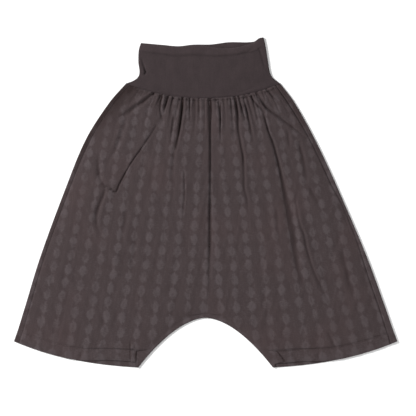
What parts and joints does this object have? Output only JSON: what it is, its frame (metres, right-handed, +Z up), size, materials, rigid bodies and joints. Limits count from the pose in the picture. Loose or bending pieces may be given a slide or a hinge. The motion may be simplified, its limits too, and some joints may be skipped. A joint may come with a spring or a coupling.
{
  "type": "harem pants",
  "caption": "Knee-length harem pants laid flat, with a wide smooth knit waistband, gathered woven legs, an arched low crotch and turned-up hems.",
  "frame": {"origin": "on the surface that the garment lies on, under the middle of its outline", "axes": "+X across the garment towards the wearer's left leg, +Y towards the waist, +Z up out of the front"},
  "size_m": [0.8048, 0.6922, 0.0104],
  "materials": {
    "knit": "smooth fine knit, dark taupe grey",
    "woven": "soft woven cloth with chains of pale ovals, dark taupe grey"
  },
  "bodies": {
    "root": {"waistband": "knit", "front_panel_left": "woven", "front_panel_right": "woven", "back_panel_left": "woven", "back_panel_right": "woven"}
  },
  "joints": []
}
